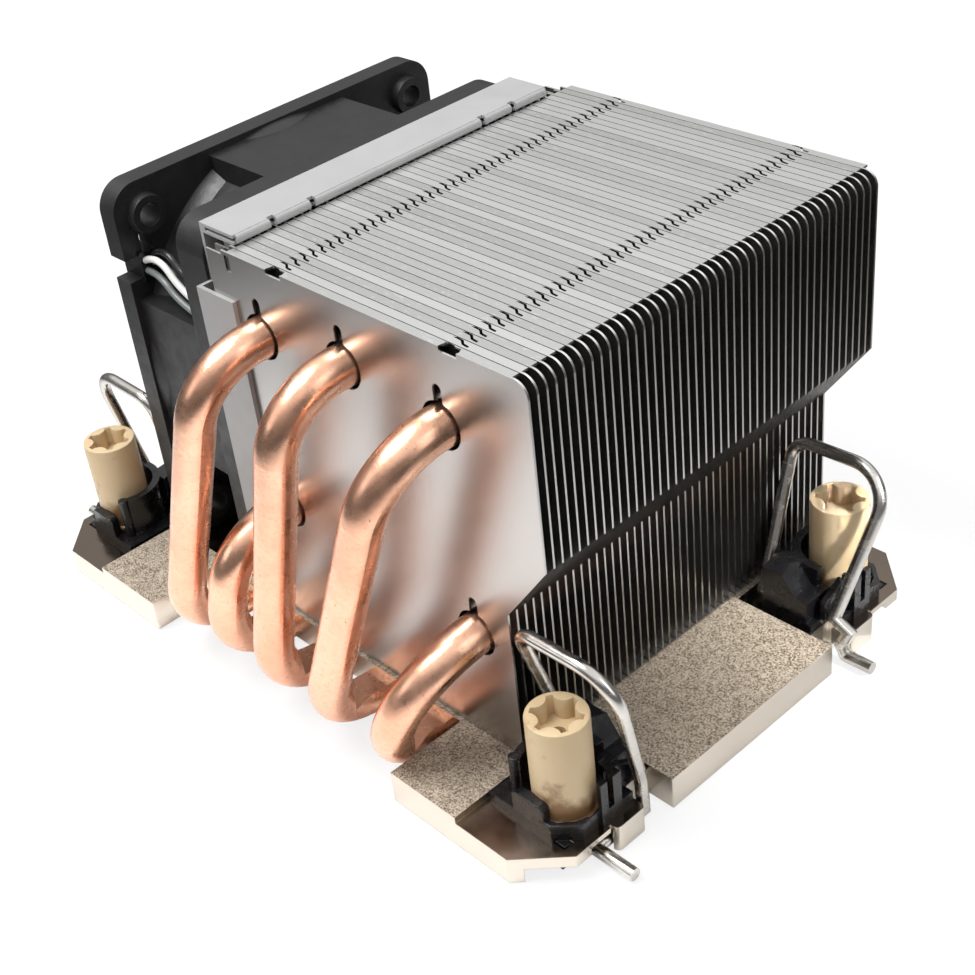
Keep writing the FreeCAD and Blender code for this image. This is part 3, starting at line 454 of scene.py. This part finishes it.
finishes = {
    "nickel_base": nickel_base(),
    "copper_pipe": copper_pipe(),
    "fin_sheet": fin_sheet(),
    "white_sheet": white_sheet(),
    "black_frame": moulded("black_frame", (0.010, 0.010, 0.011), (0.018, 0.018, 0.019), 0.40),
    "black_rotor": moulded("black_rotor", (0.010, 0.010, 0.011), (0.018, 0.018, 0.019), 0.38),
    "black_retainer": moulded("black_retainer", (0.003, 0.003, 0.004), (0.007, 0.007, 0.008), 0.24),
    "beige_nut": beige_nut(),
    "bright_wire": steel("bright_wire", (0.72, 0.70, 0.67), (0.50, 0.47, 0.43), 0.2),
    "ground_steel": steel("ground_steel", (0.72, 0.71, 0.70), (0.60, 0.59, 0.58), 0.15),
    "steel_yoke": steel("steel_yoke", (0.50, 0.49, 0.48), (0.40, 0.39, 0.38), 0.3),
    "screw_steel": steel("screw_steel", (0.52, 0.51, 0.50), (0.40, 0.40, 0.40), 0.3),
    "ferrite": moulded("ferrite", (0.03, 0.028, 0.027), (0.05, 0.046, 0.044), 0.6),
    "winding": winding(),
    "board": circuit_board(),
    "sleeve": sleeve(),
    "tie": moulded("tie", (0.62, 0.62, 0.60), (0.70, 0.70, 0.68), 0.4),
    "connector": moulded("connector", (0.66, 0.64, 0.57), (0.74, 0.72, 0.66), 0.35),
    "wire_light": moulded("wire_light", (0.66, 0.66, 0.64), (0.74, 0.74, 0.72), 0.3),
    "wire_grey": moulded("wire_grey", (0.13, 0.14, 0.14), (0.20, 0.21, 0.21), 0.3),
    "wire_black": moulded("wire_black", (0.008, 0.008, 0.009), (0.016, 0.016, 0.017), 0.28),
}


# ---- modelled pieces ---------------------------------------------------------------------
# Bare sizes from here on are in millimetres, and make_piece turns them into metres.

corners = {"front": (1, -1), "right": (1, 1), "left": (-1, -1), "rear": (-1, 1)}
crease_angle = 35.0          # a sharper edge than this stays sharp

nut_bottom, nut_top = 0.8, 19.9
nut_columns = 144
thread_radius, thread_top = 2.0, 12.0
through_radius = 0.95
shank_radius = 3.7
collar_radius, collar_low, collar_high = 4.4, 4.1, 5.5
nut_radius = 4.05
socket_floor = 16.9
star_reach = 3.3             # how far the star's narrow points go out
lobe_distance = 3.72         # from the nut's axis to the middle of a round lobe
lobe_radius = 1.42
star_flare = 0.12            # lead-in at the socket's mouth
mouth_depth = 0.3
rim_steps = ((0.3, 0.0), (0.08, 0.07), (0.0, 0.25))     # depth below the top, and how far in

plate_top = 5.25             # of a retainer, on which its details stand
rim_top = 6.5
rim_outline = ((0.7, 4.75), (2.6, 4.1), (4.15, 2.5), (4.75, 0.9), (5.35, 0.9), (5.35, 2.42),
               (2.52, 5.25), (0.7, 5.25))
tab_half, tab_bottom, tab_top, tab_corner = 2.65, 5.2, 8.7, 0.9
tab_centre = (-1.25, -7.0)   # about which the tab is curved
tab_radii = (12.55, 11.05)
post_place, post_radius, post_top = (-5.25, 3.0), 0.8, 11.9
post_columns = 20
arm_outline = ((-8.3, 5.25), (-4.25, 5.25), (-4.25, 10.4), (-8.3, 8.4))     # Y and Z
arm_span = (3.0, 4.1)
edge_round = 0.14

fold_edge = -7.36            # the strip's free edge along X
fold_reach, fold_half = 0.6, 0.66
strip_half = 0.7             # half the height of the hemmed strip
fold_ends = (-23.6, 32.9)
fold_notches = (-17.6, -10.9, 20.3, 26.3)
notch_half = 0.5

screw_inset = 5.0            # from the flange's edges to a screw's axis
boss_columns = 32
boss_rows = ((0.4, 1.7), (0.4, 2.2), (3.5, 2.2), (3.5, 3.0), (5.0, 2.8), (5.0, 1.7))


def make_piece(name, verts, faces, slot, body="cooler"):
    """Mesh object from arrays, smooth apart from its sharp edges, with its slot's finish."""
    mesh = bpy.data.meshes.new(name)
    mesh.from_pydata((np.asarray(verts) * mm).tolist(), [], faces)
    mesh.shade_smooth()
    mesh.set_sharp_from_angle(angle=math.radians(crease_angle))
    mesh.materials.append(finishes[slot])
    piece = bpy.data.objects.new(name, mesh)
    bpy.context.scene.collection.objects.link(piece)
    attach(piece, body)
    return piece


def full_turn(count):
    """Angles of so many even steps round a circle, in radians."""
    return np.arange(count) / count * 2 * math.pi


def grid_faces(rows, columns):
    """Quads of a grid that closes along both directions."""
    row, column = np.meshgrid(np.arange(rows), np.arange(columns), indexing="ij")
    next_row, next_column = (row + 1) % rows, (column + 1) % columns
    quads = [row * columns + column, row * columns + next_column,
             next_row * columns + next_column, next_row * columns + column]
    return np.stack(quads, -1).reshape(-1, 4).tolist()


def prism_faces(count):
    """Both ends and the sides of a body between two rings of so many points."""
    sides = [(k, (k + 1) % count, (k + 1) % count + count, k + count) for k in range(count)]
    return [list(range(count))[::-1], list(range(count, 2 * count))] + sides


def prism(outline, low, high):
    """Flat outline carried straight from one height to another: its vertices and faces."""
    ring = np.array(outline, float)
    count = len(ring)
    verts = np.concatenate([np.column_stack([ring, np.full(count, z)]) for z in (low, high)])
    return verts, prism_faces(count)


def turned(part, order):
    """The same part with its axes in another order."""
    verts, faces = part
    return verts[:, order], faces


def join(parts):
    """One set of vertices and faces from several."""
    starts = np.cumsum([0] + [len(verts) for verts, faces in parts])
    faces = [[index + int(start) for index in face]
             for start, part in zip(starts, parts) for face in part[1]]
    return np.concatenate([part[0] for part in parts]), faces


def nut_centre(name):
    """Middle of a corner's nut."""
    low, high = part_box("nut_" + name)
    return (np.array(low) + np.array(high)) / 2 / mm


def star_radius(turn):
    """Socket's radius at an angle: its reach, or where the nearest of six round lobes cuts in.

    Off the lobe's middle by an angle a, that is the lobe's distance times cos a, less the root of
    the lobe's radius squared minus the square of the distance times sin a.
    """
    off = np.mod(turn + math.pi / 6, math.pi / 3) - math.pi / 6
    inside = lobe_radius ** 2 - (lobe_distance * np.sin(off)) ** 2
    lobe = lobe_distance * np.cos(off) - np.sqrt(np.clip(inside, 0, None))
    return np.where(inside > 0, np.minimum(lobe, star_reach), star_reach)


def socket_nut(name):
    """Tall nut with a star socket, in rows that go up the outside and down the socket and bore.

    Each row is a height and a radius at every angle: the axis plus that radius times the angle's
    cosine and sine. The radius is the same all round, and the star's in the socket.
    """
    turn = full_turn(nut_columns)
    plain = np.ones(nut_columns)
    star = star_radius(turn)
    rows = (
        (nut_bottom, plain * thread_radius),
        (nut_bottom, plain * shank_radius),
        (collar_low, plain * shank_radius),
        (collar_low, plain * collar_radius),
        (collar_high, plain * collar_radius),
        (collar_high + 0.2, plain * nut_radius),
        *[(nut_top - depth, plain * (nut_radius - inset)) for depth, inset in rim_steps],
        (nut_top, star + star_flare),
        (nut_top - mouth_depth, star),
        (socket_floor, star),
        (socket_floor, plain * through_radius),
        (thread_top, plain * through_radius),
        (thread_top, plain * thread_radius),
    )
    middle = nut_centre(name)
    around = np.array([radius for height, radius in rows])
    up = np.array([height for height, radius in rows])[:, None] * plain
    verts = np.stack([middle[0] + around * np.cos(turn), middle[1] + around * np.sin(turn), up], -1)
    piece = make_piece("socket_nut_" + name, verts.reshape(-1, 3), grid_faces(len(rows), nut_columns),
                       "beige_nut", "nut_" + name)
    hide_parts("nut_" + name)


def bent_tab():
    """Upright tab with two round top corners, bent about an upright axis.

    Its flat outline is a distance across and a height. Across over the mean radius is an angle, and
    the point is the axis plus each face's own radius times that angle's sine and cosine.
    """
    turn = np.linspace(0, math.pi / 2, 7)
    across, up = tab_corner * np.cos(turn), tab_corner * np.sin(turn)
    inner_half, inner_top = tab_half - tab_corner, tab_top - tab_corner
    right = np.column_stack([inner_half + across, inner_top + up])
    left = np.column_stack([-inner_half - up, inner_top + across])
    ring = np.concatenate([[(-tab_half, tab_bottom), (tab_half, tab_bottom)], right, left])
    angle = ring[:, 0] / np.mean(tab_radii)
    sheets = [np.column_stack([tab_centre[0] + radius * np.sin(angle),
                               tab_centre[1] + radius * np.cos(angle), ring[:, 1]])
              for radius in tab_radii]
    return np.concatenate(sheets), prism_faces(len(ring))


def retainer_detail(name):
    """Raised rim, bent tab, round post and sloping arm on one retainer.

    All but the tab are outlines carried straight up, or across for the arm. They are worked out
    about the nut for the right corner, then mirrored to their own corner.
    """
    turn = full_turn(post_columns)
    post = np.column_stack([post_place[0] + post_radius * np.cos(turn),
                            post_place[1] + post_radius * np.sin(turn)])
    verts, faces = join([
        prism(rim_outline, plate_top, rim_top),
        bent_tab(),
        prism(post, plate_top, post_top),
        turned(prism(arm_outline, *arm_span), [2, 0, 1]),
    ])
    side_x, side_y = corners[name]
    middle = nut_centre(name)
    verts = verts * (side_x, side_y, 1) + (middle[0], middle[1], 0)
    if side_x * side_y < 0:
        faces = [face[::-1] for face in faces]
    piece = make_piece("retainer_detail_" + name, verts, faces, "black_retainer")
    bevel = piece.modifiers.new("edges", "BEVEL")
    bevel.width = edge_round * mm
    bevel.segments = 2
    bevel.limit_method = "ANGLE"


def bracket_fold():
    """Rounded fold along the free edge of the bracket's strip, broken at its notches.

    A half oval, the edge plus the reach times the cosine and the half height times the sine of an
    angle, is carried along Y from each notch to the next.
    """
    middle = float(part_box("fan_bracket")[1][2]) / mm - strip_half
    turn = np.linspace(math.pi / 2, -math.pi / 2, 11)
    ring = np.column_stack([fold_edge + fold_reach * np.cos(turn), middle + fold_half * np.sin(turn)])
    starts = [fold_ends[0]] + [notch + notch_half for notch in fold_notches]
    ends = [notch - notch_half for notch in fold_notches] + [fold_ends[1]]
    verts, faces = join([turned(prism(ring, start, end), [0, 2, 1])
                         for start, end in zip(starts, ends)])
    piece = make_piece("bracket_fold", verts, faces, "white_sheet")


def flange_bosses():
    """Screw tubes behind the outer flange's four corners.

    Each row is a depth along X and a radius at every angle: the screw's axis plus that radius times
    the angle's cosine and sine. The rows go round the section of the tube's wall.
    """
    low, high = (np.array(corner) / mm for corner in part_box("fan_frame"))
    turn = full_turn(boss_columns)
    plain = np.ones(boss_columns)
    tubes = []
    for y in (low[1] + screw_inset, high[1] - screw_inset):
        for z in (low[2] + screw_inset, high[2] - screw_inset):
            rows = [np.column_stack([plain * (low[0] + depth), y + radius * np.cos(turn),
                                     z + radius * np.sin(turn)]) for depth, radius in boss_rows]
            tubes.append((np.concatenate(rows), grid_faces(len(rows), boss_columns)))
    verts, faces = join(tubes)
    piece = make_piece("flange_bosses", verts, faces, "black_frame")


# ---- fan lead -----------------------------------------------------------------------------

lead_radius = 1.2 * mm
wire_radius = 0.5 * mm
lead_route = (               # from the grommet down to the floor and into the coil
    (-44.6, -20.7, 51.5),
    (-48.6, -15.6, 46.6),
    (-50.9, -11.6, 38.0),
    (-53.6, -9.2, 28.6),
    (-57.6, -7.4, 19.4),
    (-62.4, -4.8, 10.6),
    (-65.8, 0.2, 4.0),
    (-66.5, 6.6, 1.9),
)
lead_tail = ((-66.5, 34.8, 6.7), (-66.8, 40.6, 4.5), (-67.4, 46.6, 3.0))
coil_centre = (-80.0, 20.5)
coil_radius = 13.5
coil_levels = (1.9, 6.7)
coil_turns = 2
points_a_turn = 16
short_wires = {              # each wire between the fan's two flanges
    "black": ((-20.8, -20.9, 50.0), (-26.4, -20.9, 52.0), (-30.9, -20.9, 55.9), (-35.4, -20.2, 52.8)),
    "white": ((-20.8, -21.8, 48.9), (-26.0, -22.2, 50.6), (-30.8, -22.0, 54.9), (-35.4, -21.5, 52.6)),
    "dark": ((-20.8, -20.9, 47.9), (-26.4, -21.0, 49.6), (-30.9, -20.8, 53.4), (-35.4, -20.2, 51.2)),
    "grey": ((-20.8, -22.2, 47.5), (-26.8, -22.4, 48.6), (-30.9, -22.3, 52.0), (-35.4, -21.5, 51.0)),
}


def smooth_line(name, points, radius, material):
    """Round cord on one smooth spline through a list of control points."""
    curve = bpy.data.curves.new(name, "CURVE")
    curve.dimensions = "3D"
    curve.bevel_depth = radius
    curve.bevel_resolution = 5
    curve.resolution_u = 10
    curve.use_fill_caps = True
    line = curve.splines.new("NURBS")
    line.points.add(len(points) - 1)
    flat = np.ones((len(points), 4))
    flat[:, :3] = np.array(points) * mm
    line.points.foreach_set("co", flat.ravel())
    line.order_u = 3
    line.use_endpoint_u = True
    curve.materials.append(material)
    cord = bpy.data.objects.new(name, curve)
    bpy.context.scene.collection.objects.link(cord)
    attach(cord, "cooler")
    return cord


def coil_points():
    """Helix that climbs one diameter a turn, starting at the side next to the fan.

    It is the centre plus the radius times the cosine and sine of an angle that grows with height.
    """
    low, high = coil_levels
    step = np.arange(coil_turns * points_a_turn + 1)
    turn = step / points_a_turn * 2 * math.pi
    return np.column_stack([coil_centre[0] + coil_radius * np.cos(turn),
                            coil_centre[1] + coil_radius * np.sin(turn),
                            low + (high - low) * step / step[-1]])


def fan_lead():
    """The sleeved lead, its put-away coil and its tail as one cord; the tie and connector are left to
    the model.
    """
    start = (float(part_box("lead_clip")[0][0]) / mm, -20.9, 51.65)
    points = [start, *lead_route, *coil_points(), *lead_tail]
    cord = smooth_line("fan_cord", points, lead_radius, finishes["sleeve"])
    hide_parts("fan_lead", "lead_coil", "lead_tail")


def flange_wires():
    """Four short wires between the flanges, from the fan's inside to the grommet."""
    looks = {"black": "wire_black", "white": "wire_light", "dark": "wire_black", "grey": "wire_grey"}
    for name, points in short_wires.items():
        wire = smooth_line("wire_" + name, points, wire_radius, finishes[looks[name]])
        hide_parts("lead_wire_" + name)


def dress_nodes():
    """Each node of the frame takes its slot's finish."""
    for entry in frame["record"]["subparts"]:
        node = nodes[entry["node"]]
        node.data.materials.clear()
        node.data.materials.append(finishes[entry["material_slot"]])


add_camera()
add_studio()
dress_nodes()
fan_lead()
flange_wires()
bracket_fold()
flange_bosses()
for corner in corners:
    socket_nut(corner)
    retainer_detail(corner)
